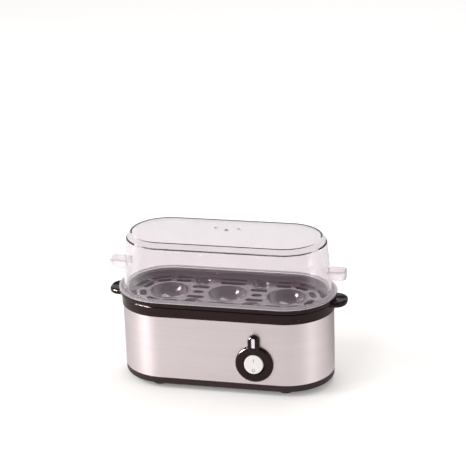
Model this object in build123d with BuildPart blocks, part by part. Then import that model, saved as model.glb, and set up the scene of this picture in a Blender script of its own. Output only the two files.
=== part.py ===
from build123d import *
import math
import os

# Electric egg cooker for three eggs: black base pan, brushed steel sleeve, black collar with two
# end grips, heating bowl, egg tray and clear lid. Millimetres, +Z up, the table is z = 0, the
# front with the switch looks towards -Y, and the long side of the body lies along X.

# Body: every outline from above is a stadium round the same two end centres.
body_length = 208.0
body_width = 92.0
slip = 0.3

# Heights, from the table upwards.
foot_height = 4.6
base_band_height = 7.3
sleeve_height = 63.5
collar_band_height = 10.9
collar_lip_height = 4.1

# Steel sleeve.
sleeve_thickness = 0.6

# Base pan.
pan_inset = 0.2
pan_floor = 2.2
pan_wall = 2.0
pan_spigot_height = 8.1
pan_edge_radius = 2.2
pan_inner_radius = 1.8
pan_slot_length = 16.0
pan_slot_width = 3.0
pan_slot_pitch = 8.0
pan_slot_count = 5

# Feet.
foot_x = 62.5
foot_inset = 15.0
foot_top_radius = 7.6
foot_bottom_radius = 6.9
foot_edge_radius = 1.2
foot_stem_radius = 3.0
foot_bulb_radius = 3.9
foot_bulb_height = 1.6
stem_clearance = 0.05

# Collar: a skirt inside the sleeve, a band above it, a groove, an overhanging lip and two ledges.
skirt_wall = 2.0
skirt_depth = 23.4
band_proud = 0.9
band_edge_radius = 0.6
groove_height = 1.2
groove_depth = 0.9
lip_overhang = 2.9
lip_edge_radius = 1.1
tray_seat_depth = 2.0
lip_width = 1.4
bore_wall = 3.4
bowl_ledge_width = 3.5
bowl_ledge_thickness = 2.5
bowl_ledge_drop = 15.9

# End grips of the collar.
grip_reach = 13.5
grip_width = 28.0
grip_thickness = 5.5
grip_rise = 0.7
grip_corner_radius = 11.6
grip_edge_radius = 2.2
grip_scoop_radius = 16.0
grip_scoop_depth = 1.3
grip_scoop_inset = 5.5

# Bowl seal.
seal_thickness = 1.5
seal_width = 2.9

# Heating bowl: pressed sheet with two welded studs.
bowl_sheet = 1.0
bowl_depth = 18.0
bowl_rim_width = 4.7
bowl_draft = 2.2
bowl_corner_radius = 4.0
stud_x = 22.0
stud_radius = 2.0
stud_length = 13.6

# Egg tray: stepped wall, flat deck, three cups, four dishes and steam slots.
tray_sheet = 1.8
tray_rim_width = 5.5
tray_deck_drop = 5.7
tray_riser_run = 1.0
tray_tread = 0.9
cup_radius = 18.8
cup_depth = 12.5
cup_wall = 1.6
bead_width = 1.6
bead_height = 0.5
dish_radius = 9.2
dish_depth = 6.0
dish_wall = 1.4
dish_land = 1.7

# Steam slots: their widths, the lands between them and the cups and dishes, and their angles.
slot_width = 6.4
outer_slot_width = 4.8
ring_land = 7.2
ring_slot_length = 14.5
ring_slot_angles = (21.7, 65.0)
outer_slot_margin = 2.9
outer_slot_span = 26.0
outer_slot_angles = (22.0, 62.0)
row_share = 0.36
row_land = 6.8
row_end_land = 4.1
bridge_drop = 5.5
bridge_land = 4.9
bridge_far_land = 6.0

# Lid.
lid_sheet = 2.0
lid_roof = 1.6
lid_shoulder_wall = 2.4
lid_shoulder_rise = 0.3
lid_crown_wall = 1.8
lid_flange_thickness = 2.0
lid_flange_gap = 0.3
lid_flange_overhang = 3.2
lid_foot_step = 4.9
lid_draft = 4.3
lid_chamfer_run = 4.3
lid_shoulder_height = 50.9
lid_crown_height = 56.8
lid_rib_width = 1.0
lid_rib_depth = 1.6
lid_edge_radius = 0.6
lid_crown_radius = 0.5
vent_radius = 1.6
vent_lip_width = 0.8
vent_lip_height = 0.4
vent_x = -0.9
vent_y = 7.3
vent_pitch = 11.4
vent_step_back = 5.4
tab_reach = 116.5
tab_width = 17.0
tab_height = 8.2
tab_sheet = 1.8
tab_top = 116.0
tab_corner_radius = 4.5
tab_edge_radius = 1.6

# Front control: a round bezel with an upright stem, on the flat front of the sleeve.
control_x = 35.5
control_z = 33.5
bezel_radius = 18.5
bezel_thickness = 3.0
bezel_edge_radius = 2.2
bezel_bore_radius = 10.3
bezel_bore_chamfer = 0.4
stem_width = 11.6
stem_top = 29.8
stem_foot = 11.2
stem_thickness = 4.6
stem_edge_radius = 2.6
bezel_screw_offset = 15.6
bezel_screw_radius = 1.1
bezel_screw_bite = 2.0
bezel_screw_head_radius = 2.2
bezel_screw_head_height = 1.5
screw_clearance = 0.05
hole_clearance = 0.1

# Rocker: a round button that tips about a pin across the switch.
rocker_radius = 9.2
rocker_thickness = 3.4
rocker_edge_radius = 0.6
rocker_proud = 4.8
rocker_rest_tilt = 8.0
rocker_hub_radius = 3.1
rocker_hub_length = 13.0
rocker_toe_radius = 1.8
rocker_toe_length = 6.2
pin_radius = 0.9
pin_depth = 1.4
pin_length = 22.6
running_clearance = 0.05

# Switch body behind the sleeve.
switch_radius = 11.6
switch_flange_width = 37.0
switch_flange_height = 25.0
switch_flange_thickness = 1.6
switch_depth = 19.0
switch_cavity_radius = 10.5
switch_cavity_depth = 9.0
blade_width = 6.3
blade_thickness = 0.8
blade_length = 8.5
blade_pitch = 6.0

# Pilot lamp in the stem.
lens_width = 3.4
lens_height = 9.6
lens_rise = 22.5
lens_sink = 0.4
lens_corner_radius = 0.8
lens_clearance = 0.15
lens_flange_margin = 1.4
lens_flange_thickness = 1.2
lamp_radius = 2.4
lamp_length = 10.0
lamp_lead_radius = 0.4
lamp_lead_length = 5.0
lamp_lead_pitch = 2.4
holder_width = 8.6
holder_depth = 6.4
holder_height = 15.0
notch_margin = 1.5

# Heating element: a tube bent into a stadium, open at the back, with a cold pin in each end.
element_radius = 3.3
element_bend = 20.0
element_half_run = 34.0
element_gap = 26.0
element_clearance = 0.2
cold_pin_radius = 1.4
cold_pin_length = 6.0
cold_pin_drop = 9.0

# Cross bars that pull the bowl down on its seal, with their nuts.
bar_width = 12.0
bar_thickness = 1.5
nut_radius = 3.9
nut_height = 3.2

# Thermostat on its strap, and the thermal fuse in its clip.
thermostat_radius = 8.2
thermostat_cap_height = 3.6
thermostat_base_radius = 7.2
strap_width = 12.0
strap_thickness = 1.0
strap_end = 6.0
connector_width = 4.8
connector_length = 8.0
connector_height = 1.6
fuse_radius = 2.0
fuse_length = 11.0
fuse_y = 24.0
fuse_gap = 0.1
fuse_lead_radius = 0.5
fuse_lead_length = 7.0
clip_thickness = 0.7
clip_foot = 2.4
clip_length = 6.0

# Mains entry and wiring points in the pan.
gland_x = 40.0
gland_z = 29.0
gland_flange_radius = 7.5
gland_flange_thickness = 1.8
gland_neck_radius = 6.0
gland_nose_radius = 5.4
gland_nut_thickness = 1.5
cord_radius = 3.3
saddle_inset = 15.0
saddle_length = 26.0
saddle_width = 9.0
cord_clamp_height = 8.6
clamp_screw_offset = 8.4
clamp_screw_radius = 1.3
clamp_screw_bite = 8.0
clamp_screw_head_radius = 2.4
clamp_screw_head_height = 1.7
block_x = -20.0
block_inset = 26.0
block_length = 27.0
block_width = 15.0
block_height = 13.0
block_pitch = 8.4
block_bore_radius = 2.0
block_screw_radius = 1.6
block_screw_depth = 5.0

# Long screws from under the pan into four posts of the collar.
post_angle = 45.0
post_inset = 3.3
post_radius = 4.0
post_bottom = 24.0
post_overlap = 6.5
boss_radius = 4.4
base_screw_radius = 1.5
base_screw_bite = 11.0
base_screw_head_radius = 3.0
base_screw_head_height = 2.2
base_screw_sink = 9.0

# Levels and radii that follow from the sizes above.
half_width = body_width / 2
end_x = (body_length - body_width) / 2
z_pan = foot_height
z_floor = z_pan + pan_floor
z_sleeve = z_pan + base_band_height
z_band = z_sleeve + sleeve_height
z_lip = z_band + collar_band_height
z_rim = z_lip + collar_lip_height
z_skirt = z_band - skirt_depth
z_tray_seat = z_rim - tray_seat_depth
z_tray_rim = z_tray_seat + tray_sheet
z_deck = z_rim - tray_deck_drop
z_ledge = z_rim - bowl_ledge_drop
z_bowl_rim = z_ledge + seal_thickness
z_bowl_base = z_bowl_rim + bowl_sheet - bowl_depth
z_strap = z_skirt - bar_thickness - strap_thickness
sleeve_inner = half_width - sleeve_thickness
skirt_outer = sleeve_inner - slip
skirt_inner = skirt_outer - skirt_wall
band_radius = half_width + band_proud
lip_radius = half_width + lip_overhang
pocket_radius = lip_radius - lip_width
bore_radius = band_radius - bore_wall
ledge_radius = bore_radius - bowl_ledge_width
bowl_rim_radius = bore_radius - slip
bowl_wall_radius = bowl_rim_radius - bowl_rim_width
mouth_radius = pocket_radius - slip - tray_rim_width
deck_radius = mouth_radius - 2 * (tray_tread + tray_riser_run)
flange_radius = half_width + lid_flange_overhang
foot_y = half_width - foot_inset
saddle_y = half_width - saddle_inset
saddle_top = gland_z - cord_radius
block_y = half_width - block_inset
post_spoke = skirt_inner - post_inset
pivot_y = pin_depth - half_width
rocker_arm = rocker_proud + pin_depth
tilt = math.radians(rocker_rest_tilt)
rocker_front = rocker_arm * math.cos(tilt) + rocker_radius * math.sin(tilt) - pivot_y

# Slots of the tray, between the cups, the dishes and the edge of the deck.
dish_x = end_x / 2
dish_y = deck_radius - dish_radius - dish_land
ring_slot_radius = cup_radius + ring_land
outer_slot_radius = deck_radius - outer_slot_margin
row_y = cup_radius + row_share * (deck_radius - cup_radius)
row_middle_length = 2 * (dish_x - dish_radius - row_land)
row_end_start = dish_x + dish_radius + row_end_land
row_end_length = end_x - row_end_start
bridge_pitch = dish_y - dish_radius - bridge_drop
bridge_chord = math.sqrt(cup_radius**2 - bridge_pitch**2)
bridge_short_length = max(end_x - 2 * (cup_radius + bridge_land), slot_width + slip)
bridge_long_length = end_x - 2 * (bridge_chord + bridge_far_land)

# Positions that repeat.
post_along = end_x + post_spoke * math.cos(math.radians(post_angle))
post_across = post_spoke * math.sin(math.radians(post_angle))
post_points = [(a * post_along, b * post_across) for a in (-1, 1) for b in (-1, 1)]
foot_points = [(a * foot_x, b * foot_y) for a in (-1, 1) for b in (-1, 1)]
dish_points = [(a * dish_x, b * dish_y) for a in (-1, 1) for b in (-1, 1)]
cup_points = [(-end_x, 0), (0, 0), (end_x, 0)]
clamp_points = [(gland_x + a * clamp_screw_offset, saddle_y) for a in (-1, 1)]
vent_points = [(vent_x + a * vent_pitch, vent_y + abs(a) * vent_step_back) for a in (-1, 0, 1)]

# Half sections are drawn on this plane: distance from the end centre first, height second.
section_plane = Plane(origin=(end_x, 0, 0), x_dir=(0, 1, 0), z_dir=(1, 0, 0))
# The front and rear planes lie on the flats of the sleeve and look outwards, height second.
front_plane = Plane(origin=(control_x, -half_width, control_z), x_dir=(1, 0, 0), z_dir=(0, -1, 0))
rear_plane = Plane(origin=(gland_x, half_width, gland_z), x_dir=(-1, 0, 0), z_dir=(0, 1, 0))

os.makedirs("parts", exist_ok=True)


def run_round(section, mode=Mode.ADD):
    """Carry a half section along both straight sides and round both ends of the stadium."""
    side = extrude(section, amount=2 * end_x, dir=(-1, 0, 0), mode=Mode.PRIVATE)
    end = revolve(section, Axis((end_x, 0, 0), (0, 0, -1)), 180, mode=Mode.PRIVATE)
    add([side, end, side.rotate(Axis.Z, 180), end.rotate(Axis.Z, 180)], mode=mode)


def slab(bottom, top, radius, mode=Mode.ADD):
    """Fill the stadium of the given radius between two heights."""
    with BuildSketch(Plane.XY.offset(bottom)) as outline:
        SlotCenterToCenter(2 * end_x, 2 * radius)
    extrude(outline.sketch, amount=top - bottom, mode=mode)


def rods(points, bottom, top, radius, mode=Mode.ADD):
    """Put an upright round rod at each point, or take one away."""
    with BuildSketch(Plane.XY.offset(bottom)) as rounds:
        with Locations(*points):
            Circle(radius)
    extrude(rounds.sketch, amount=top - bottom, mode=mode)


def block(centre_x, centre_y, length, width, bottom, top, mode=Mode.ADD):
    """Put an upright block on a centre, or take one away."""
    with BuildSketch(Plane.XY.offset(bottom)) as outline:
        with Locations((centre_x, centre_y)):
            Rectangle(length, width)
    extrude(outline.sketch, amount=top - bottom, mode=mode)


def corner(along, up):
    """Pick the corner of the open section that lies nearest a point."""
    return vertices().sort_by_distance((along, up, 0))[0]


def save(piece, name):
    """Label a finished piece and write its STEP file."""
    piece.part.label = name
    export_step(piece.part, f"parts/{name}.step")


# Base pan: floor with a rounded lower edge, a shoulder under the sleeve and a spigot inside it.
# Four bosses take the long screws and a saddle carries the cord clamp.
with BuildSketch(section_plane) as pan_section:
    with BuildLine():
        Polyline(
            (0, z_pan),
            (half_width - pan_inset, z_pan),
            (half_width - pan_inset, z_sleeve),
            (skirt_outer, z_sleeve),
            (skirt_outer, z_sleeve + pan_spigot_height),
            (skirt_outer - pan_wall, z_sleeve + pan_spigot_height),
            (skirt_outer - pan_wall, z_floor),
            (0, z_floor),
            close=True,
        )
    make_face()
    fillet(corner(half_width - pan_inset, z_pan), pan_edge_radius)
    fillet(corner(skirt_outer - pan_wall, z_floor), pan_inner_radius)

with BuildPart() as base_pan:
    run_round(pan_section.sketch)
    rods(post_points, z_pan, post_bottom, boss_radius)
    block(gland_x, saddle_y, saddle_length, saddle_width, z_pan, saddle_top)
    rods(post_points, z_pan, post_bottom, base_screw_radius + hole_clearance, Mode.SUBTRACT)
    sink_radius = base_screw_head_radius + hole_clearance
    rods(post_points, z_pan, z_pan + base_screw_sink, sink_radius, Mode.SUBTRACT)
    rods(foot_points, z_pan, z_floor, foot_stem_radius + stem_clearance, Mode.SUBTRACT)
    saddle_hole = clamp_screw_radius + screw_clearance
    rods(clamp_points, saddle_top - clamp_screw_bite - slip, saddle_top, saddle_hole, Mode.SUBTRACT)
    with BuildSketch(Plane.XY.offset(z_pan)):
        with GridLocations(2 * foot_x, pan_slot_pitch, 2, pan_slot_count):
            SlotOverall(pan_slot_length, pan_slot_width)
    extrude(amount=pan_floor, mode=Mode.SUBTRACT)
save(base_pan, "base_pan")

# Rubber feet: a tapered pad below the floor and a bulb above it that keeps the foot in.
with BuildPart() as one_foot:
    with BuildSketch(Plane.XZ):
        with BuildLine():
            Polyline(
                (0, 0),
                (foot_bottom_radius, 0),
                (foot_top_radius, z_pan),
                (foot_stem_radius, z_pan),
                (foot_stem_radius, z_floor + slip),
                (foot_bulb_radius, z_floor + slip),
                (foot_stem_radius, z_floor + slip + foot_bulb_height),
                (0, z_floor + slip + foot_bulb_height),
                close=True,
            )
        make_face()
        fillet(corner(foot_bottom_radius, 0), foot_edge_radius)
    revolve(axis=Axis.Z)
with BuildPart() as feet:
    with Locations(*foot_points):
        add(one_foot.part)
save(feet, "feet")

# Steel sleeve: one band of sheet, with openings for the switch, the pilot lamp and the mains cord.
with BuildSketch(section_plane) as sleeve_section:
    with Locations((half_width - sleeve_thickness / 2, (z_sleeve + z_band) / 2)):
        Rectangle(sleeve_thickness, sleeve_height)

with BuildPart() as steel_sleeve:
    run_round(sleeve_section.sketch)
    with BuildSketch(front_plane):
        Circle(switch_radius + slip)
        with Locations((-bezel_screw_offset, 0), (bezel_screw_offset, 0)):
            Circle(bezel_screw_radius + hole_clearance)
        with Locations((0, lens_rise)):
            Rectangle(lens_width + 2 * slip, lens_height + 2 * slip)
    extrude(amount=-2 * sleeve_thickness, mode=Mode.SUBTRACT)
    with BuildSketch(rear_plane):
        Circle(gland_neck_radius + hole_clearance)
    extrude(amount=-2 * sleeve_thickness, mode=Mode.SUBTRACT)
save(steel_sleeve, "steel_sleeve")

# Collar: moulded in one with both end grips and four screw posts. Its skirt sits inside the
# sleeve, one ledge carries the bowl and the pocket at the top carries the tray.
with BuildSketch(section_plane) as collar_section:
    with BuildLine():
        Polyline(
            (skirt_outer, z_skirt),
            (skirt_outer, z_band),
            (band_radius, z_band),
            (band_radius, z_lip - groove_height),
            (band_radius - groove_depth, z_lip - groove_height),
            (band_radius - groove_depth, z_lip),
            (lip_radius, z_lip),
            (lip_radius, z_rim),
            (pocket_radius, z_rim),
            (pocket_radius, z_tray_seat),
            (bore_radius, z_tray_seat),
            (bore_radius, z_ledge),
            (ledge_radius, z_ledge),
            (ledge_radius, z_ledge - bowl_ledge_thickness),
            (skirt_inner, z_ledge - bowl_ledge_thickness),
            (skirt_inner, z_skirt),
            close=True,
        )
    make_face()
    fillet(corner(lip_radius, z_lip), lip_edge_radius)
    fillet(corner(band_radius, z_lip - groove_height), band_edge_radius)

with BuildPart() as grips:
    grip_tip = end_x + half_width + grip_reach
    with BuildSketch(Plane.XY.offset(z_lip + grip_rise - grip_thickness)):
        RectangleRounded(2 * grip_tip, grip_width, min(grip_corner_radius, 0.45 * grip_width))
    extrude(amount=grip_thickness)
    fillet(edges().filter_by(Plane.XY), grip_edge_radius)
    scoop_height = z_lip + grip_rise - grip_scoop_depth + grip_scoop_radius
    with Locations(*[(a * (grip_tip - grip_scoop_inset), 0, scoop_height) for a in (-1, 1)]):
        Sphere(grip_scoop_radius, mode=Mode.SUBTRACT)
    slab(z_skirt, z_rim, bore_radius + slip, Mode.SUBTRACT)

with BuildPart() as rim_collar:
    run_round(collar_section.sketch)
    add(grips.part)
    for along, across in post_points:
        spoke_angle = math.degrees(math.atan2(across, along - math.copysign(end_x, along)))
        with BuildSketch(Plane.XY.offset(z_skirt)):
            with Locations((math.copysign(end_x, along), 0)):
                with PolarLocations(0, 1, spoke_angle):
                    with Locations(((post_spoke + skirt_inner + slip) / 2, 0)):
                        Rectangle(skirt_inner + slip - post_spoke, post_radius)
        extrude(amount=post_overlap)
    rods(post_points, post_bottom, z_skirt + post_overlap, post_radius)
    screw_hole = base_screw_radius + screw_clearance
    rods(post_points, post_bottom, post_bottom + base_screw_bite + slip, screw_hole, Mode.SUBTRACT)
    notch_width = holder_width + 2 * notch_margin
    notch_top = control_z + lens_rise + holder_height / 2 + notch_margin
    block(control_x, -skirt_inner, notch_width, 3 * skirt_wall, z_skirt, notch_top, Mode.SUBTRACT)
save(rim_collar, "rim_collar")

# Seal ring between the collar's ledge and the bowl's rim.
with BuildPart() as bowl_seal:
    slab(z_ledge, z_bowl_rim, bowl_rim_radius)
    slab(z_ledge, z_bowl_rim, bowl_rim_radius - seal_width, Mode.SUBTRACT)
save(bowl_seal, "bowl_seal")

# Heating bowl: pressed aluminium with a flat rim, a drafted wall and two studs under its floor.
with BuildSketch(section_plane) as bowl_section:
    with BuildLine():
        Polyline(
            (0, z_bowl_base),
            (bowl_wall_radius - bowl_draft, z_bowl_base),
            (bowl_wall_radius, z_bowl_rim),
            (bowl_rim_radius, z_bowl_rim),
            (bowl_rim_radius, z_bowl_rim + bowl_sheet),
            (bowl_wall_radius - bowl_sheet, z_bowl_rim + bowl_sheet),
            (bowl_wall_radius - bowl_sheet - bowl_draft, z_bowl_base + bowl_sheet),
            (0, z_bowl_base + bowl_sheet),
            close=True,
        )
    make_face()
    fillet(corner(bowl_wall_radius - bowl_draft, z_bowl_base), bowl_corner_radius)
    inner_corner = corner(bowl_wall_radius - bowl_sheet - bowl_draft, z_bowl_base + bowl_sheet)
    fillet(inner_corner, bowl_corner_radius - bowl_sheet)

with BuildPart() as heating_bowl:
    run_round(bowl_section.sketch)
    rods([(-stud_x, 0), (stud_x, 0)], z_bowl_base - stud_length, z_bowl_base, stud_radius)
save(heating_bowl, "heating_bowl")

# Heating element: the tube runs just under the bowl's floor and rests on the cross bars.
element_z = z_bowl_base - element_clearance - element_radius
pin_end = element_gap / 2 - cold_pin_length
with BuildPart() as heating_element:
    with BuildLine() as element_path:
        Line((element_gap / 2, element_bend, element_z), (element_half_run, element_bend, element_z))
        ThreePointArc(
            (element_half_run, element_bend, element_z),
            (element_half_run + element_bend, 0, element_z),
            (element_half_run, -element_bend, element_z),
        )
        Line((element_half_run, -element_bend, element_z), (-element_half_run, -element_bend, element_z))
        ThreePointArc(
            (-element_half_run, -element_bend, element_z),
            (-element_half_run - element_bend, 0, element_z),
            (-element_half_run, element_bend, element_z),
        )
        Line((-element_half_run, element_bend, element_z), (-element_gap / 2, element_bend, element_z))
    with BuildSketch(Plane(origin=(element_gap / 2, element_bend, element_z), z_dir=(1, 0, 0))):
        Circle(element_radius)
    sweep(path=element_path.wire())
    for side in (-1, 1):
        with BuildSketch(Plane.YZ.offset(side * pin_end)) as pin_face:
            with Locations((element_bend, element_z)):
                Circle(cold_pin_radius)
        extrude(pin_face.sketch, amount=cold_pin_length + element_radius, dir=(side, 0, 0))
        drop_points = [(side * (pin_end + cold_pin_radius), element_bend)]
        rods(drop_points, element_z - cold_pin_drop, element_z, cold_pin_radius)
save(heating_element, "heating_element")

# Cross bars: each bears on the lower edge of the collar's skirt and hangs the bowl's stud.
with BuildPart() as clamp_bars:
    for side in (-1, 1):
        block(side * stud_x, 0, bar_width, 2 * skirt_outer, z_skirt - bar_thickness, z_skirt)
    bar_hole = stud_radius + screw_clearance
    rods([(-stud_x, 0), (stud_x, 0)], z_strap, z_skirt, bar_hole, Mode.SUBTRACT)
save(clamp_bars, "clamp_bars")

# Thermostat strap: a flat strip between the studs, pinched under the cross bars by the nuts.
with BuildPart() as thermostat_strap:
    block(0, 0, 2 * (stud_x + strap_end), strap_width, z_strap, z_strap + strap_thickness)
    rods([(-stud_x, 0), (stud_x, 0)], z_strap, z_skirt, bar_hole, Mode.SUBTRACT)
save(thermostat_strap, "thermostat_strap")

with BuildPart() as clamp_nuts:
    with BuildSketch(Plane.XY.offset(z_strap - nut_height)):
        with Locations((-stud_x, 0), (stud_x, 0)):
            RegularPolygon(nut_radius, 6)
            Circle(stud_radius + screw_clearance, mode=Mode.SUBTRACT)
    extrude(amount=nut_height)
save(clamp_nuts, "clamp_nuts")

# Thermostat: a moulded base with two connectors under a round metal cap that feels the bowl.
with BuildPart() as thermostat:
    cap_top = z_bowl_base - element_clearance
    rods([(0, 0)], z_strap + strap_thickness, cap_top - thermostat_cap_height, thermostat_base_radius)
    rods([(0, 0)], cap_top - thermostat_cap_height, cap_top, thermostat_radius)
    fillet(edges().group_by(Axis.Z)[-1], thermostat_cap_height / 4)
    connector_reach = 2 * (thermostat_base_radius + connector_length - blade_thickness)
    connector_bottom = z_strap + strap_thickness + connector_height
    block(0, 0, connector_width, connector_reach, connector_bottom, connector_bottom + blade_thickness)
save(thermostat, "thermostat")

# Thermal fuse: a small can with two leads, held under a cross bar by a clip.
fuse_z = z_skirt - bar_thickness - fuse_radius - fuse_gap
with BuildPart() as thermal_fuse:
    with BuildSketch(Plane.XZ.offset(-fuse_y)) as can_face:
        with Locations((stud_x, fuse_z)):
            Circle(fuse_radius)
    extrude(can_face.sketch, amount=fuse_length / 2, both=True)
    with BuildSketch(Plane.XZ.offset(-fuse_y)) as lead_face:
        with Locations((stud_x, fuse_z)):
            Circle(fuse_lead_radius)
    extrude(lead_face.sketch, amount=fuse_length / 2 + fuse_lead_length, both=True)
save(thermal_fuse, "thermal_fuse")

with BuildPart() as fuse_clip:
    with BuildSketch(Plane.XZ.offset(-fuse_y)) as clip_face:
        clip_inner = fuse_radius + fuse_gap
        with Locations((stud_x, fuse_z)):
            Circle(clip_inner + clip_thickness)
        with Locations((stud_x, fuse_z + clip_inner / 2)):
            Rectangle(2 * (clip_inner + clip_thickness), clip_inner)
        with Locations((stud_x, fuse_z + clip_inner - clip_thickness / 2)):
            Rectangle(2 * (clip_inner + clip_thickness + clip_foot), clip_thickness)
        with Locations((stud_x, fuse_z)):
            Circle(clip_inner, mode=Mode.SUBTRACT)
        with Locations((stud_x, fuse_z + clip_inner / 2)):
            Rectangle(2 * clip_inner, clip_inner, mode=Mode.SUBTRACT)
        with Locations((stud_x, fuse_z + 2 * clip_inner)):
            Rectangle(4 * clip_inner, 2 * clip_inner, mode=Mode.SUBTRACT)
    extrude(amount=clip_length / 2, both=True)
save(fuse_clip, "fuse_clip")

# Egg tray: a dished moulding with a stepped wall, a flat deck with slots for the steam, three
# cups and four small dishes.
riser = (z_tray_rim - z_deck) / 3
tread_radius = deck_radius + tray_riser_run
upper_tread = tread_radius + tray_tread + tray_riser_run
with BuildSketch(section_plane) as tray_section:
    with BuildLine():
        Polyline(
            (0, z_deck),
            (deck_radius, z_deck),
            (tread_radius, z_deck + riser),
            (tread_radius + tray_tread, z_deck + riser),
            (upper_tread, z_deck + 2 * riser),
            (mouth_radius - tray_riser_run / 2, z_deck + 2 * riser),
            (mouth_radius, z_tray_rim),
            (pocket_radius - slip, z_tray_rim),
            (pocket_radius - slip, z_tray_seat),
            (bore_radius - slip, z_tray_seat),
            (tread_radius + tray_sheet / 2, z_deck - tray_sheet),
            (0, z_deck - tray_sheet),
            close=True,
        )
    make_face()
    fillet(corner(tread_radius + tray_sheet / 2, z_deck - tray_sheet), tray_sheet)


def bowl_shape(radius, depth):
    """Make the solid of a round cup, a cap of a ball."""
    ball = (radius**2 + depth**2) / (2 * depth)
    half = math.asin(radius / ball) / 2
    with BuildPart(mode=Mode.PRIVATE) as shape:
        with BuildSketch(Plane.XZ):
            with BuildLine():
                middle = (ball * math.sin(half), ball - depth - ball * math.cos(half))
                ThreePointArc((radius, 0), middle, (0, -depth))
                Polyline((0, -depth), (0, 0), (radius, 0))
            make_face()
        revolve(axis=Axis.Z)
    return shape.part


def bead(radius):
    """Make the raised bead that runs round the mouth of a cup."""
    with BuildPart(mode=Mode.PRIVATE) as ring:
        with BuildSketch(Plane.XZ):
            with BuildLine():
                Polyline(
                    (radius, bead_height),
                    (radius + bead_width / 2, bead_height),
                    (radius + bead_width, 0),
                    (radius + bead_width, -bead_height),
                    (radius, -bead_height),
                    close=True,
                )
            make_face()
        revolve(axis=Axis.Z)
    return ring.part


with BuildPart() as egg_tray:
    run_round(tray_section.sketch)
    with Locations(*[(x, y, z_deck) for x, y in cup_points]):
        add(bowl_shape(cup_radius + cup_wall, cup_depth + cup_wall))
        add(bead(cup_radius))
    with Locations(*[(x, y, z_deck) for x, y in dish_points]):
        add(bowl_shape(dish_radius + dish_wall, dish_depth + dish_wall))
        add(bead(dish_radius))
    rods(cup_points, z_deck, z_deck + 2 * bead_height, cup_radius, Mode.SUBTRACT)
    rods(dish_points, z_deck, z_deck + 2 * bead_height, dish_radius, Mode.SUBTRACT)
    with Locations(*[(x, y, z_deck) for x, y in cup_points]):
        add(bowl_shape(cup_radius, cup_depth), mode=Mode.SUBTRACT)
    with Locations(*[(x, y, z_deck) for x, y in dish_points]):
        add(bowl_shape(dish_radius, dish_depth), mode=Mode.SUBTRACT)
    row_end_x = row_end_start + row_end_length / 2
    with BuildSketch(Plane.XY.offset(z_deck)) as slots:
        for side in (-1, 1):
            with Locations((side * end_x / 2, 0)):
                SlotOverall(bridge_short_length, slot_width)
                with Locations((0, bridge_pitch), (0, -bridge_pitch)):
                    SlotOverall(bridge_long_length, slot_width)
            for row, width in ((row_y, slot_width), (outer_slot_radius, outer_slot_width)):
                with Locations((0, side * row)):
                    SlotOverall(row_middle_length, width)
                    with Locations((row_end_x, 0), (-row_end_x, 0)):
                        SlotOverall(row_end_length, width)
            for angle in [a * s for a in ring_slot_angles for s in (-1, 1)]:
                with Locations((side * end_x, 0)):
                    with PolarLocations(ring_slot_radius, 1, 90 - 90 * side + angle):
                        SlotOverall(ring_slot_length, slot_width, rotation=90)
            for angle in [a * s for a in outer_slot_angles for s in (-1, 1)]:
                start = 90 - 90 * side + angle - outer_slot_span / 2
                slot_arc = CenterArc((side * end_x, 0), outer_slot_radius, start, outer_slot_span)
                SlotArc(slot_arc, outer_slot_width)
    extrude(amount=-2 * tray_sheet, mode=Mode.SUBTRACT)
save(egg_tray, "egg_tray")

# Lid: a clear drafted shell with a chamfered crown and three vents. It stands on the tray's rim, its
# rib finds the tray's mouth and its flange overhangs the collar.
lid_foot = flange_radius - lid_foot_step
lid_shoulder = lid_foot - lid_draft
lid_crown = lid_shoulder - lid_chamfer_run
z_flange = z_rim + lid_flange_thickness
z_shoulder = z_rim + lid_shoulder_height
z_crown = z_rim + lid_crown_height
rib_radius = mouth_radius - tray_riser_run / 2 - slip
with BuildSketch(section_plane) as lid_outside:
    with BuildLine():
        Polyline(
            (0, z_tray_rim),
            (pocket_radius - slip, z_tray_rim),
            (pocket_radius - slip, z_rim + lid_flange_gap),
            (flange_radius, z_rim + lid_flange_gap),
            (flange_radius, z_flange),
            (lid_foot, z_flange),
            (lid_shoulder, z_shoulder),
            (lid_crown, z_crown),
            (0, z_crown),
            close=True,
        )
    make_face()
    fillet(corner(flange_radius, z_flange), lid_edge_radius)
    fillet(corner(lid_shoulder, z_shoulder), lid_crown_radius)
    fillet(corner(lid_crown, z_crown), lid_crown_radius)

with BuildSketch(section_plane) as lid_inside:
    with BuildLine():
        Polyline(
            (0, z_tray_rim - 2 * lid_rib_depth),
            (rib_radius - lid_rib_width, z_tray_rim - 2 * lid_rib_depth),
            (rib_radius - lid_rib_width, z_rim + lid_flange_thickness / 2),
            (lid_foot - lid_sheet, z_rim + lid_flange_thickness / 2),
            (lid_shoulder - lid_shoulder_wall, z_shoulder + lid_shoulder_rise),
            (lid_crown - lid_crown_wall, z_crown - lid_roof),
            (0, z_crown - lid_roof),
            close=True,
        )
    make_face()

with BuildPart() as lid:
    run_round(lid_outside.sketch)
    slab(z_tray_rim - lid_rib_depth, z_tray_rim, rib_radius)
    run_round(lid_inside.sketch, Mode.SUBTRACT)
    rods(vent_points, z_crown - lid_roof, z_crown + vent_lip_height, vent_radius + vent_lip_width)
    vent_top = z_crown + 2 * vent_lip_height
    rods(vent_points, z_crown - 2 * lid_roof, vent_top, vent_radius, Mode.SUBTRACT)
save(lid, "lid")

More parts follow.
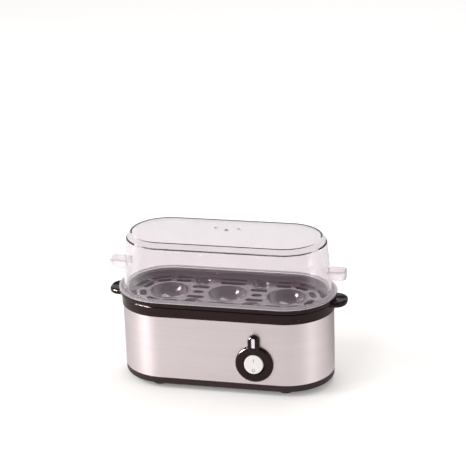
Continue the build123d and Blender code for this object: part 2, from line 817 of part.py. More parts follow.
# Lifting tabs: a skirted tab on each end of the lid, open below for a fingertip.
with BuildPart() as lid_tabs:
    with BuildSketch(Plane.XY.offset(tab_top - tab_height)):
        RectangleRounded(2 * tab_reach, tab_width, tab_corner_radius)
    extrude(amount=tab_height)
    fillet(edges().group_by(Axis.Z)[-1], tab_edge_radius)
    with BuildSketch(Plane.XY.offset(tab_top - tab_height)):
        RectangleRounded(
            2 * (tab_reach - tab_sheet),
            tab_width - 2 * tab_sheet,
            tab_corner_radius - tab_sheet,
        )
    extrude(amount=tab_height - tab_sheet, mode=Mode.SUBTRACT)
    run_round(lid_outside.sketch, Mode.SUBTRACT)
save(lid_tabs, "lid_tabs")

# Bezel: a ring round the button with a domed stem above it that holds the pilot lens.
with BuildPart() as bezel_stem:
    with BuildSketch(front_plane):
        with Locations((0, (stem_foot + stem_top) / 2)):
            SlotOverall(stem_top - stem_foot, stem_width, rotation=90)
    extrude(amount=stem_thickness)
    fillet(edges().group_by(Axis.Y)[0], stem_edge_radius)

with BuildPart() as control_bezel:
    with BuildSketch(front_plane):
        Circle(bezel_radius)
    extrude(amount=bezel_thickness)
    fillet(edges().group_by(Axis.Y)[0], bezel_edge_radius)
    add(bezel_stem.part)
    with BuildSketch(front_plane):
        Circle(bezel_bore_radius)
    extrude(amount=stem_thickness, mode=Mode.SUBTRACT)
    rims = edges().filter_by(GeomType.CIRCLE)
    bore_rims = rims.filter_by(lambda rim: abs(rim.radius - bezel_bore_radius) < slip)
    chamfer(bore_rims.group_by(Axis.Y)[0], bezel_bore_chamfer)
    with BuildSketch(front_plane):
        with Locations((-bezel_screw_offset, 0), (bezel_screw_offset, 0)):
            Circle(bezel_screw_radius + screw_clearance)
    extrude(amount=bezel_screw_bite + hole_clearance, mode=Mode.SUBTRACT)
    with BuildSketch(front_plane):
        with Locations((0, lens_rise)):
            lens_slot = lens_width + 2 * lens_clearance
            RectangleRounded(lens_slot, lens_height + 2 * lens_clearance, lens_corner_radius)
    extrude(amount=stem_thickness, mode=Mode.SUBTRACT)
save(control_bezel, "control_bezel")

# Switch: a round barrel through the sleeve with a flange behind it and a cavity for the rocker.
with BuildPart() as switch_body:
    with BuildSketch(front_plane):
        Circle(switch_radius)
    extrude(amount=-switch_depth)
    with BuildSketch(front_plane.offset(-sleeve_thickness)):
        SlotOverall(switch_flange_width, switch_flange_height)
    extrude(amount=-switch_flange_thickness)
    with BuildSketch(front_plane):
        Circle(switch_cavity_radius)
    extrude(amount=-switch_cavity_depth, mode=Mode.SUBTRACT)
    with BuildSketch(front_plane):
        with Locations((-bezel_screw_offset, 0), (bezel_screw_offset, 0)):
            Circle(bezel_screw_radius + hole_clearance)
    extrude(amount=-switch_depth, mode=Mode.SUBTRACT)
    with BuildSketch(Plane.YZ.offset(control_x)) as bearing:
        with Locations((pivot_y, control_z)):
            Circle(pin_radius + running_clearance / 2)
    extrude(bearing.sketch, amount=pin_length / 2, both=True, mode=Mode.SUBTRACT)
save(switch_body, "switch_body")

with BuildPart() as rocker_pin:
    with BuildSketch(Plane.YZ.offset(control_x)) as pin_circle:
        with Locations((pivot_y, control_z)):
            Circle(pin_radius)
    extrude(pin_circle.sketch, amount=pin_length / 2, both=True)
save(rocker_pin, "rocker_pin")

with BuildPart() as bezel_screws:
    head_seat = front_plane.offset(-sleeve_thickness - switch_flange_thickness)
    with BuildSketch(head_seat):
        with Locations((-bezel_screw_offset, 0), (bezel_screw_offset, 0)):
            Circle(bezel_screw_head_radius)
    extrude(amount=-bezel_screw_head_height)
    with BuildSketch(head_seat):
        with Locations((-bezel_screw_offset, 0), (bezel_screw_offset, 0)):
            Circle(bezel_screw_radius)
    extrude(amount=sleeve_thickness + switch_flange_thickness + bezel_screw_bite)
save(bezel_screws, "bezel_screws")

# Rocker: a round button on a hub that turns on the pin, with a toe that works the contacts. It is
# drawn upright about the pin and then tipped to its resting angle.
with BuildPart() as upright_rocker:
    with BuildSketch(Plane.XZ.offset(rocker_arm - rocker_thickness)):
        Circle(rocker_radius)
    extrude(amount=rocker_thickness)
    fillet(edges().group_by(Axis.Y)[0], rocker_edge_radius)
    with BuildSketch(Plane.YZ):
        Circle(rocker_hub_radius)
    extrude(amount=rocker_hub_length / 2, both=True)
    with BuildSketch(Plane.XZ):
        Circle(rocker_toe_radius)
    extrude(amount=-rocker_toe_length)
    fillet(edges().group_by(Axis.Y)[-1], rocker_toe_radius / 2)
    with BuildSketch(Plane.YZ):
        Circle(pin_radius + running_clearance)
    extrude(amount=rocker_hub_length, both=True, mode=Mode.SUBTRACT)

with BuildPart() as switch_rocker:
    with Locations(Location((control_x, pivot_y, control_z), (-rocker_rest_tilt, 0, 0))):
        add(upright_rocker.part)
save(switch_rocker, "switch_rocker")

# Flat blades behind the switch, side by side.
with BuildPart() as switch_terminals:
    with BuildSketch(front_plane.offset(-switch_depth)):
        with GridLocations(blade_pitch, 1, 3, 1):
            Rectangle(blade_thickness, blade_width)
    extrude(amount=-blade_length)
save(switch_terminals, "switch_terminals")

# Pilot lens: its window fills the slot in the stem and its flange stays behind the sleeve.
with BuildPart() as pilot_lens:
    with BuildSketch(front_plane.offset(-sleeve_thickness)):
        with Locations((0, lens_rise)):
            RectangleRounded(lens_width, lens_height, lens_corner_radius)
    extrude(amount=sleeve_thickness + stem_thickness - lens_sink)
    with BuildSketch(front_plane.offset(-sleeve_thickness)):
        with Locations((0, lens_rise)):
            Rectangle(lens_width + 2 * lens_flange_margin, lens_height + 2 * lens_flange_margin)
    extrude(amount=-lens_flange_thickness)
save(pilot_lens, "pilot_lens")

# Neon lamp in its holder, pushed against the back of the lens.
holder_seat = front_plane.offset(-sleeve_thickness - lens_flange_thickness)
with BuildPart() as lamp_holder:
    with BuildSketch(holder_seat):
        with Locations((0, lens_rise)):
            Rectangle(holder_width, holder_height)
            Circle(lamp_radius + hole_clearance, mode=Mode.SUBTRACT)
    extrude(amount=-holder_depth)
save(lamp_holder, "lamp_holder")

with BuildPart() as neon_lamp:
    with BuildSketch(holder_seat):
        with Locations((0, lens_rise)):
            Circle(lamp_radius)
    extrude(amount=-lamp_length)
    fillet(edges().group_by(Axis.Y)[0], lamp_radius / 3)
    with BuildSketch(holder_seat.offset(-lamp_length)):
        with Locations((-lamp_lead_pitch / 2, lens_rise), (lamp_lead_pitch / 2, lens_rise)):
            Circle(lamp_lead_radius)
    extrude(amount=-lamp_lead_length)
save(neon_lamp, "neon_lamp")

# Gland: the mouth of the mains cord, held in the sleeve by a nut from the inside.
gland_reach = rocker_front - half_width
with BuildPart() as cord_gland:
    with BuildSketch(rear_plane):
        Circle(gland_flange_radius)
    extrude(amount=gland_flange_thickness)
    with BuildSketch(rear_plane):
        Circle(gland_nose_radius)
    extrude(amount=gland_reach)
    fillet(edges().group_by(Axis.Y)[-1], bezel_bore_chamfer)
    with BuildSketch(rear_plane):
        Circle(gland_neck_radius)
    extrude(amount=-2 * gland_nut_thickness - sleeve_thickness)
    with BuildSketch(rear_plane.offset(gland_reach)):
        Circle(cord_radius)
    extrude(amount=-2 * gland_reach, mode=Mode.SUBTRACT)
save(cord_gland, "cord_gland")

with BuildPart() as gland_nut:
    with BuildSketch(rear_plane.offset(-sleeve_thickness)):
        RegularPolygon(gland_flange_radius + gland_nut_thickness, 6)
        Circle(gland_neck_radius + screw_clearance, mode=Mode.SUBTRACT)
    extrude(amount=-gland_nut_thickness)
save(gland_nut, "gland_nut")

# Cord clamp: a bridge with a round-topped channel, screwed onto the saddle.
with BuildPart() as cord_clamp:
    block(gland_x, saddle_y, saddle_length, saddle_width, saddle_top, saddle_top + cord_clamp_height)
    with BuildSketch(Plane.XZ.offset(-saddle_y)):
        with Locations((gland_x, gland_z)):
            Circle(cord_radius)
        with Locations((gland_x, (gland_z + saddle_top) / 2)):
            Rectangle(2 * cord_radius, gland_z - saddle_top)
    extrude(amount=saddle_width, both=True, mode=Mode.SUBTRACT)
    clamp_hole = clamp_screw_radius + hole_clearance
    rods(clamp_points, saddle_top, saddle_top + cord_clamp_height, clamp_hole, Mode.SUBTRACT)
save(cord_clamp, "cord_clamp")

with BuildPart() as clamp_screws:
    clamp_top = saddle_top + cord_clamp_height
    rods(clamp_points, saddle_top - clamp_screw_bite, clamp_top, clamp_screw_radius)
    rods(clamp_points, clamp_top, clamp_top + clamp_screw_head_height, clamp_screw_head_radius)
save(clamp_screws, "clamp_screws")

# Terminal block: three wire channels from front to back, each with a screw from above.
bore_points = [(block_x + a * block_pitch, block_y) for a in (-1, 0, 1)]
z_block = z_floor + block_height
with BuildPart() as terminal_block:
    block(block_x, block_y, block_length, block_width, z_floor, z_block)
    with BuildSketch(Plane.XZ.offset(-block_y)):
        with Locations(*[(x, z_floor + block_height / 3) for x, y in bore_points]):
            Circle(block_bore_radius)
    extrude(amount=block_width, both=True, mode=Mode.SUBTRACT)
    block_hole = block_screw_radius + screw_clearance
    rods(bore_points, z_floor + block_height / 3, z_block, block_hole, Mode.SUBTRACT)
save(terminal_block, "terminal_block")

with BuildPart() as block_screws:
    rods(bore_points, z_block - block_screw_depth - slip, z_block - slip, block_screw_radius)
save(block_screws, "block_screws")

# Long screws that draw the pan, the sleeve and the collar together.
screw_seat = z_pan + base_screw_sink
with BuildPart() as base_screws:
    rods(post_points, screw_seat - base_screw_head_height, screw_seat, base_screw_head_radius)
    rods(post_points, screw_seat, post_bottom + base_screw_bite, base_screw_radius)
save(base_screws, "base_screws")
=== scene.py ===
import bmesh
import bpy
import math
from mathutils import Matrix, Vector


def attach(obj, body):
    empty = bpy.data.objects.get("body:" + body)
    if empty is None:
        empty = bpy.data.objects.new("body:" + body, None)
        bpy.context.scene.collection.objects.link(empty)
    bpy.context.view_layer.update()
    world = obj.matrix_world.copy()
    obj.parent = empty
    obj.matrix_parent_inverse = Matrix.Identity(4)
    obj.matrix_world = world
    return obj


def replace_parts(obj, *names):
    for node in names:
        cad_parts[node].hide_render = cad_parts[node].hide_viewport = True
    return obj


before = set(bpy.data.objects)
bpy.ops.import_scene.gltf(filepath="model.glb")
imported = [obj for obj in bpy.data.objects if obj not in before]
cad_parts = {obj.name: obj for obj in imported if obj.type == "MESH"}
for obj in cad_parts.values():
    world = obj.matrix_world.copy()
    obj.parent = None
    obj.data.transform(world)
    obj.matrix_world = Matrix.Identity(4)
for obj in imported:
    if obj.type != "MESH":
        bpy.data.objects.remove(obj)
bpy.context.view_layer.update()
scene = bpy.context.scene
scene.view_settings.view_transform = "Standard"

# The camera stands a little to the right of the front and looks down on the cooker at 20 degrees.
# A long lens from 1.5 m away keeps the long sides nearly parallel.
heading, look_down, lean = 13.832, 20.473, -1.863
camera_spot = (0.345297, -1.372529, 0.674984)
camera_data = bpy.data.cameras.new("camera")
camera_data.sensor_width = 36.0
camera_data.lens = 122.12
camera_data.clip_start = 0.05
camera = bpy.data.objects.new("camera", camera_data)
scene.collection.objects.link(camera)
camera_turn = Matrix.Rotation(math.radians(heading), 4, "Z")
camera_tilt = Matrix.Rotation(math.radians(90 - look_down), 4, "X")
camera_lean = Matrix.Rotation(math.radians(lean), 4, "Z")
camera.matrix_world = Matrix.Translation(camera_spot) @ camera_turn @ camera_tilt @ camera_lean
scene.camera = camera


# Table: one sheet of matt white paper, as in a shop's product picture. Seen directly or through
# the clear lid it is plain white, and it still takes the cooker's soft shadow.
def linear(code):
    """Turn an sRGB hex colour into the linear values that a shader works in."""
    parts = [int(code[i:i + 2], 16) / 255 for i in (1, 3, 5)]
    return [p / 12.92 if p <= 0.04045 else ((p + 0.055) / 1.055) ** 2.4 for p in parts] + [1.0]


def node(tree, kind, settings=None, links=None, **values):
    """Add one node, set its properties and its inputs, and link what feeds it."""
    made = tree.nodes.new("ShaderNode" + kind)
    for key, value in (settings or {}).items():
        setattr(made, key, value)
    for key, value in values.items():
        made.inputs[key.replace("_", " ")].default_value = value
    for key, source in (links or {}).items():
        feed = source.outputs[0] if hasattr(source, "outputs") else source
        tree.links.new(feed, made.inputs[key])
    return made


def material(name):
    """Start a material with an empty tree."""
    made = bpy.data.materials.new(name)
    made.use_nodes = True
    made.node_tree.nodes.clear()
    return made, made.node_tree


def shiny_look(tree):
    """Give 1 where a mirror-like or a clear surface looks, and 0 elsewhere."""
    path = node(tree, "LightPath")
    return node(tree, "Math", {"operation": "MAXIMUM"},
                {0: path.outputs["Is Glossy Ray"], 1: path.outputs["Is Transmission Ray"]})


def seen_through(tree):
    """Give 1 to a look that has only passed clear plastic, and 0 to anything mirrored."""
    path = node(tree, "LightPath")
    mirrored = node(tree, "Math", {"operation": "SUBTRACT"},
                    {0: path.outputs["Ray Depth"], 1: path.outputs["Transmission Depth"]})
    straight = node(tree, "Math", {"operation": "LESS_THAN"}, {0: mirrored})
    straight.inputs[1].default_value = 0.5
    return node(tree, "Math", {"operation": "MULTIPLY"},
                {0: straight, 1: path.outputs["Is Transmission Ray"]})


def painted_end_shade(tree, place):
    """Give the light that mirror-like surfaces meet on each side, with painted shade towards both
    ends.
    """
    around = node(tree, "TexGradient", {"gradient_type": "RADIAL"}, {"Vector": place})
    ring = node(tree, "ValToRGB", links={"Fac": around})
    steps = ((0.0, 0.76), (0.06, 1.0), (0.46, 1.0), (0.53, 0.85), (0.61, 0.4), (0.69, 0.35),
             (0.75, 0.85), (0.85, 0.9), (0.92, 0.68), (1.0, 0.72))
    for at, level in steps[1:-1]:
        ring.color_ramp.elements.new(at)
    for stop, (at, level) in zip(ring.color_ramp.elements, steps):
        stop.position = at
        stop.color = (level, level, level, 1.0)
    path = node(tree, "LightPath")
    mirror = node(tree, "Math", {"operation": "SUBTRACT"},
                  {0: path.outputs["Is Glossy Ray"], 1: path.outputs["Is Transmission Ray"]})
    return node(tree, "MapRange", links={"Value": mirror, "To Max": ring}, To_Min=1.0)


white_paper, tree = material("matt_white_paper")
place = node(tree, "TexCoord").outputs["Object"]
spot = node(tree, "SeparateXYZ", links={"Vector": place})
# Shiny pieces see it with painted shade: white near and behind the cooker, darker out in front.
reach = node(tree, "VectorMath", {"operation": "LENGTH"}, {0: place})
painted_near_pool = node(tree, "MapRange", links={"Value": reach.outputs["Value"]}, From_Min=0.35, From_Max=0.6,
            To_Min=1.0, To_Max=0.3)
behind = node(tree, "MapRange", links={"Value": spot.outputs["Y"]}, From_Min=-0.35, From_Max=-0.1)
mirrored_paper = node(tree, "Math", {"operation": "MAXIMUM"}, {0: painted_near_pool, 1: behind})
near = node(tree, "Math", {"operation": "MAXIMUM"}, {0: mirrored_paper, 1: seen_through(tree)})
# Painted shade towards both ends, seen only by shiny pieces.
painted_mirror_tone = node(tree, "Math", {"operation": "MULTIPLY"}, {0: near, 1: painted_end_shade(tree, place)})
paper_painted_tone = node(tree, "MapRange", links={"Value": shiny_look(tree), "To Max": painted_mirror_tone}, To_Min=1.0)
# A painted glow keeps it white to the eye, more behind, and on the right it thins the shadow.
eye = node(tree, "LightPath").outputs["Is Camera Ray"]
far_lift = node(tree, "MapRange", links={"Value": spot.outputs["Y"]}, From_Min=-0.1, From_Max=0.7,
                To_Min=0.14, To_Max=0.42)
painted_side_glow = node(tree, "MapRange", links={"Value": spot.outputs["X"]}, From_Min=0.1, From_Max=0.15,
                 To_Min=0.14, To_Max=0.3)
seen_lift = node(tree, "Math", {"operation": "MAXIMUM"}, {0: far_lift, 1: painted_side_glow})
paper_lift = node(tree, "MapRange", links={"Value": eye, "To Max": seen_lift}, To_Min=0.0)
shiny_lift = node(tree, "MapRange", links={"Value": shiny_look(tree)}, To_Min=0.0, To_Max=0.22)
lift = node(tree, "Math", {"operation": "ADD"}, {0: paper_lift, 1: shiny_lift})
painted_glow_strength = node(tree, "Math", {"operation": "MULTIPLY"}, {0: lift, 1: paper_painted_tone})
paper_glow = node(tree, "Emission", links={"Strength": painted_glow_strength}, Color=linear("#FFFFFF"))
paper_colour = node(tree, "Mix", {"data_type": "RGBA"}, {"Factor": paper_painted_tone})
paper_colour.inputs[6].default_value = linear("#000000")
paper_colour.inputs[7].default_value = linear("#F6F3F0")
paper_face = node(tree, "BsdfDiffuse", links={"Color": paper_colour.outputs[2]})
paper_both = node(tree, "AddShader", links={0: paper_face, 1: paper_glow})
node(tree, "OutputMaterial", links={"Surface": paper_both})

# It reaches 6 m back and to the sides, and ends 1.2 m in front, short of the camera.
paper_half, paper_front = 6.0, -1.2
paper_mesh = bpy.data.meshes.new("paper_sweep")
paper_corners = [(-paper_half, paper_front, 0), (paper_half, paper_front, 0),
                 (paper_half, paper_half, 0), (-paper_half, paper_half, 0)]
paper_mesh.from_pydata(paper_corners, [], [(0, 1, 2, 3)])
paper_mesh.materials.append(white_paper)
paper = bpy.data.objects.new("paper_sweep", paper_mesh)
scene.collection.objects.link(paper)

# Studio: a white room. Shiny pieces show its walls, white behind the cooker, dimmer on the
# camera's side and towards the ceiling, and it fills the shadows softly.
studio = bpy.data.worlds.new("studio")
scene.world = studio
studio.use_nodes = True
tree = studio.node_tree
tree.nodes.clear()
sky = node(tree, "TexCoord").outputs["Generated"]
way = node(tree, "SeparateXYZ", links={"Vector": sky})
walls = node(tree, "MapRange", links={"Value": way.outputs["Y"]},
             From_Min=-0.35, From_Max=0.25, To_Min=0.4)
ceiling = node(tree, "MapRange", links={"Value": way.outputs["Z"]},
               From_Min=0.42, From_Max=0.75, To_Min=1.0, To_Max=0.4)
bright = node(tree, "Math", {"operation": "MULTIPLY"}, {0: walls, 1: ceiling})
mirrored_room = node(tree, "Math", {"operation": "MULTIPLY"}, {0: bright, 1: painted_end_shade(tree, sky)})
room = node(tree, "Math", {"operation": "MAXIMUM"}, {0: mirrored_room, 1: seen_through(tree)})
fill = node(tree, "MapRange", links={"Value": way.outputs["Z"]},
            From_Min=-0.02, From_Max=0.02, To_Min=0.1, To_Max=0.5)
lit = node(tree, "MapRange", links={"Value": shiny_look(tree), "To Min": fill, "To Max": room})
eye = node(tree, "LightPath").outputs["Is Camera Ray"]
studio_level = node(tree, "MapRange", links={"Value": eye, "To Min": lit}, To_Max=1.0)
studio_air = node(tree, "Background", links={"Strength": studio_level}, Color=linear("#FFFFFF"))
node(tree, "OutputWorld", links={"Surface": studio_air})

# Lamps: soft boxes at both sides and behind light the cooker plainly, a small one on the left
# shines down into the cups, and a strip there draws the glints on the black mouldings.
aim = Vector((0, 0, 0.06))
for name, stand, width, height, power in (
    ("soft_box_left", (-0.98, -0.79, 0.48), 0.62, 0.6, 6.9),
    ("small_box_left", (-1.0, -0.4, 0.87), 0.38, 0.32, 6.5),
    ("edge_light_left", (-1.06, -0.62, 0.45), 0.86, 0.32, 340.0),
    ("soft_box_right", (1.25, -0.48, 0.55), 0.45, 0.7, 3.2),
    ("soft_box_back", (0.2, 0.6, 1.5), 0.9, 0.7, 6.0),
):
    lamp_data = bpy.data.lights.new(name, "AREA")
    lamp_data.shape = "RECTANGLE"
    lamp_data.size = width
    lamp_data.size_y = height
    lamp_data.energy = power
    lamp = bpy.data.objects.new(name, lamp_data)
    scene.collection.objects.link(lamp)
    lamp.location = stand
    lamp.rotation_euler = (aim - Vector(stand)).to_track_quat("-Z", "Y").to_euler()

# Flags keep each lamp to its work: nothing mirrors the small box or the back one, the lid shows
# no bent image of the left one, the right one stays off lid and tray, and the strip only glints
# on the collar and the bezel.
bpy.data.objects["soft_box_back"].visible_glossy = False
bpy.data.objects["soft_box_left"].visible_transmission = False
bpy.data.objects["small_box_left"].visible_glossy = False
bpy.data.objects["edge_light_left"].visible_diffuse = False
for name, state, pieces in (
    ("soft_box_right", "EXCLUDE", ("lid", "egg_tray")),
    ("edge_light_left", "INCLUDE", ("rim_collar", "control_bezel")),
):
    flagged = bpy.data.collections.new("flagged_for_" + name)
    bpy.data.objects[name].light_linking.receiver_collection = flagged
    for piece in pieces:
        flagged.objects.link(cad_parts[piece])
    for entry in flagged.collection_objects:
        entry.light_linking.link_state = state


# Base pan: the shallow black tub under the steel, injection moulded in polypropylene. Its tool
# was spark-eroded, so the plastic is a dull warm black with a fine even grain.
mm = 0.001  # lengths of real things are given in millimetres and turned into metres


def finish(made, *pieces):
    """Give whole pieces, named CAD nodes or new objects, one material."""
    for piece in pieces:
        mesh = (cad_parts[piece] if isinstance(piece, str) else piece).data
        mesh.materials.clear()
        mesh.materials.append(made)
        for face in getattr(mesh, "polygons", ()):
            face.material_index = 0


def extra(name, shape, made, body):
    """Turn a bmesh into a smooth-shaded piece that rides on a body."""
    bmesh.ops.recalc_face_normals(shape, faces=shape.faces)
    for face in shape.faces:
        face.smooth = True
    mesh = bpy.data.meshes.new(name)
    shape.to_mesh(mesh)
    shape.free()
    crease = math.radians(35)
    mesh.set_sharp_from_angle(angle=crease)
    made_piece = bpy.data.objects.new(name, mesh)
    scene.collection.objects.link(made_piece)
    finish(made, made_piece)
    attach(made_piece, body)
    return made_piece


eroded_pp, tree = material("spark_eroded_black_polypropylene")
place = node(tree, "TexCoord").outputs["Object"]
# Real grain is about 0.2 mm; it is drawn at 0.8 mm so that it shows at this distance.
grain = node(tree, "TexNoise", links={"Vector": place},
             Scale=1 / (0.8 * mm), Detail=3.0, Roughness=0.6)
haze = node(tree, "TexNoise", links={"Vector": place}, Scale=1 / (22 * mm), Detail=4.0)
tone = node(tree, "ValToRGB", links={"Fac": haze})
tone.color_ramp.elements[0].color = linear("#2A1C1F")
tone.color_ramp.elements[1].color = linear("#352629")
dull = node(tree, "MapRange", links={"Value": grain}, To_Min=0.38, To_Max=0.56)
relief = node(tree, "Bump", links={"Height": grain}, Strength=0.25, Distance=0.06 * mm)
shader = node(tree, "BsdfPrincipled",
              links={"Base Color": tone, "Roughness": dull, "Normal": relief},
              IOR=1.49, Specular_IOR_Level=0.25)
node(tree, "OutputMaterial", links={"Surface": shader})
finish(eroded_pp, "base_pan")

# Feet: four pads of soft black rubber, pushed into holes in the pan until a bulb snaps through.
# Compression moulding leaves them matt, and handling leaves a grey bloom on them.
foot_rubber, tree = material("compression_moulded_black_rubber")
place = node(tree, "TexCoord").outputs["Object"]
bloom = node(tree, "TexNoise", links={"Vector": place},
             Scale=1 / (3 * mm), Detail=5.0, Roughness=0.65)
tone = node(tree, "ValToRGB", links={"Fac": bloom})
tone.color_ramp.elements[0].color = linear("#211E1E")
tone.color_ramp.elements[1].color = linear("#393535")
dull = node(tree, "MapRange", links={"Value": bloom}, To_Min=0.68, To_Max=0.88)
relief = node(tree, "Bump", links={"Height": bloom}, Strength=0.2, Distance=0.08 * mm)
shader = node(tree, "BsdfPrincipled",
              links={"Base Color": tone, "Roughness": dull, "Normal": relief},
              IOR=1.52)
node(tree, "OutputMaterial", links={"Surface": shader})
finish(foot_rubber, "feet")

# Sleeve: one band of 0.6 mm stainless steel, brushed along its length by an abrasive belt, bent
# round to an oblong and spot welded where its ends overlap at the back.
brushed_steel, tree = material("belt_brushed_stainless_steel")
place = node(tree, "TexCoord").outputs["Object"]
# Belt scratches run level for 60 mm and more. They are about 0.1 mm wide and drawn at 0.45 mm.
scratch_space = node(tree, "Mapping", links={"Vector": place})
scratch_space.inputs["Scale"].default_value = (1 / (60 * mm), 1 / (60 * mm), 1 / (0.45 * mm))
scratch = node(tree, "TexNoise", links={"Vector": scratch_space},
               Scale=1.0, Detail=4.0, Roughness=0.7)
# Broader bands, 6 mm high, come from the belt's uneven grit.
band_space = node(tree, "Mapping", links={"Vector": place})
band_space.inputs["Scale"].default_value = (1 / (150 * mm), 1 / (150 * mm), 1 / (6 * mm))
band = node(tree, "TexNoise", links={"Vector": band_space}, Scale=1.0, Detail=2.0)
streak = node(tree, "Math", {"operation": "MULTIPLY_ADD"}, {0: scratch, 2: band})
streak.inputs[1].default_value = 1.6
depth = node(tree, "MapRange", links={"Value": streak}, From_Min=0.9, From_Max=1.7)
tone = node(tree, "ValToRGB", links={"Fac": depth})
tone.color_ramp.elements[0].color = linear("#DED3D5")
tone.color_ramp.elements[1].color = linear("#E6DBDD")
dull = node(tree, "MapRange", links={"Value": scratch}, To_Min=0.43, To_Max=0.49)
relief = node(tree, "Bump", links={"Height": scratch}, Strength=0.12, Distance=0.02 * mm)
belt_way = node(tree, "Tangent", {"direction_type": "RADIAL", "axis": "Z"})
shader = node(tree, "BsdfPrincipled",
              links={"Base Color": tone, "Roughness": dull, "Normal": relief, "Tangent": belt_way},
              Metallic=1.0, Anisotropic=0.75, Anisotropic_Rotation=0.25)
node(tree, "OutputMaterial", links={"Surface": shader})
finish(brushed_steel, "steel_sleeve")

# Where the sleeve's ends overlap at the back, the outer one stands a little proud, and a column
# of spot welds holds them.
steel_back = 46 * mm
lap_middle, lap_half, lap_foot, lap_top = -30 * mm, 4.5 * mm, 12.1 * mm, 75.2 * mm
lap_rise, lap_sink, lap_bevel = 0.4 * mm, 0.1 * mm, 0.15 * mm
weld_count, weld_steps, first_weld, weld_pitch = 6, 24, 18 * mm, 10.2 * mm
weld_foot_radius, weld_face_radius, weld_rise = 1.7 * mm, 1.3 * mm, 0.16 * mm
lap = bmesh.new()
lap_section = [(-lap_half, -lap_sink), (-lap_half + lap_bevel, lap_rise),
               (lap_half - lap_bevel, lap_rise), (lap_half, -lap_sink)]
lap_ends = [[lap.verts.new((lap_middle + x, steel_back + y, z)) for x, y in lap_section]
            for z in (lap_foot, lap_top)]
lap.faces.new(lap_ends[0])
lap.faces.new(lap_ends[1])
for i in range(len(lap_section)):
    lap.faces.new((lap_ends[0][i], lap_ends[0][i - 1], lap_ends[1][i - 1], lap_ends[1][i]))
for i in range(weld_count):
    weld_height = first_weld + weld_pitch * i
    weld_place = Matrix.Translation((lap_middle, steel_back + lap_rise, weld_height))
    bmesh.ops.create_cone(lap, cap_ends=True, segments=weld_steps, radius1=weld_foot_radius,
                          radius2=weld_face_radius, depth=weld_rise,
                          matrix=weld_place @ Matrix.Rotation(math.radians(-90), 4, "X"))
extra("sleeve_lap", lap, brushed_steel, "base")

# Collar: the ring with both end grips, injection moulded in ABS in a polished tool. It is a
# glossy warm black with the faint waviness that thick mouldings sink into.
polished_abs, tree = material("polished_black_abs")
place = node(tree, "TexCoord").outputs["Object"]
sink = node(tree, "TexNoise", links={"Vector": place}, Scale=1 / (9 * mm), Detail=2.0)
wipe = node(tree, "TexNoise", links={"Vector": place},
            Scale=1 / (1.6 * mm), Detail=6.0, Roughness=0.7)
tone = node(tree, "ValToRGB", links={"Fac": sink})
tone.color_ramp.elements[0].color = linear("#150809")
tone.color_ramp.elements[1].color = linear("#1D0E10")
dull = node(tree, "MapRange", links={"Value": wipe}, To_Min=0.12, To_Max=0.2)
relief = node(tree, "Bump", links={"Height": sink}, Strength=0.15, Distance=0.15 * mm)
shader = node(tree, "BsdfPrincipled",
              links={"Base Color": tone, "Roughness": dull, "Normal": relief},
              IOR=1.53, Specular_IOR_Level=0.2, Specular_Tint=linear("#FFE2E4"))
node(tree, "OutputMaterial", links={"Surface": shader})
finish(polished_abs, "rim_collar")

# Bowl seal: a flat ring under the bowl's rim, stamped from translucent silicone sheet. It keeps
# steam out of the base and lets a little light into its edge.
sheet_silicone, tree = material("stamped_translucent_silicone")
place = node(tree, "TexCoord").outputs["Object"]
cloud = node(tree, "TexNoise", links={"Vector": place}, Scale=1 / (4 * mm), Detail=3.0)
tone = node(tree, "ValToRGB", links={"Fac": cloud})
tone.color_ramp.elements[0].color = linear("#C9C3BC")
tone.color_ramp.elements[1].color = linear("#DDD8D2")
dull = node(tree, "MapRange", links={"Value": cloud}, To_Min=0.42, To_Max=0.58)
shader = node(tree, "BsdfPrincipled", links={"Base Color": tone, "Roughness": dull}, IOR=1.41,
              Subsurface_Weight=0.3, Subsurface_Scale=1.5 * mm)
node(tree, "OutputMaterial", links={"Surface": shader})
finish(sheet_silicone, "bowl_seal")

# Heating bowl: pressed from 1 mm aluminium sheet, which the press draws smooth and silvery, with
# a light scale where water has boiled dry on its floor.
pressed_aluminium, tree = material("pressed_aluminium_sheet")
place = node(tree, "TexCoord").outputs["Object"]
draw_space = node(tree, "Mapping", links={"Vector": place})
draw_space.inputs["Scale"].default_value = (1 / (1.2 * mm), 1 / (9 * mm), 1 / (9 * mm))
draw_line = node(tree, "TexNoise", links={"Vector": draw_space}, Scale=1.0, Detail=3.0)
scale_spot = node(tree, "TexNoise", links={"Vector": place},
                  Scale=1 / (12 * mm), Detail=7.0, Roughness=0.62)
chalk = node(tree, "MapRange", links={"Value": scale_spot}, From_Min=0.56, From_Max=0.72)
tone = node(tree, "ValToRGB", links={"Fac": chalk})
tone.color_ramp.elements[0].color = linear("#BDBCBE")
tone.color_ramp.elements[1].color = linear("#D6D3CD")
drawn = node(tree, "MapRange", links={"Value": draw_line}, To_Min=0.24, To_Max=0.34)
dull = node(tree, "Math", {"operation": "MULTIPLY_ADD"}, {0: chalk, 2: drawn})
dull.inputs[1].default_value = 0.3
relief = node(tree, "Bump", links={"Height": draw_line}, Strength=0.1, Distance=0.03 * mm)
shader = node(tree, "BsdfPrincipled",
              links={"Base Color": tone, "Roughness": dull, "Normal": relief},
              Metallic=1.0)
node(tree, "OutputMaterial", links={"Surface": shader})
finish(pressed_aluminium, "heating_bowl")

# Heating element: an aluminium tube packed with magnesia, bent to the bowl's shape. Heat has
# dulled it to a soft grey.
element_tube, tree = material("heat_dulled_aluminium_tube")
place = node(tree, "TexCoord").outputs["Object"]
scorch = node(tree, "TexNoise", links={"Vector": place},
              Scale=1 / (7 * mm), Detail=5.0, Roughness=0.6)
tone = node(tree, "ValToRGB", links={"Fac": scorch})
tone.color_ramp.elements[0].color = linear("#8F8B86")
tone.color_ramp.elements[1].color = linear("#B4B1AE")
dull = node(tree, "MapRange", links={"Value": scorch}, To_Min=0.38, To_Max=0.56)
shader = node(tree, "BsdfPrincipled", links={"Base Color": tone, "Roughness": dull}, Metallic=1.0)
node(tree, "OutputMaterial", links={"Surface": shader})
finish(element_tube, "heating_element")

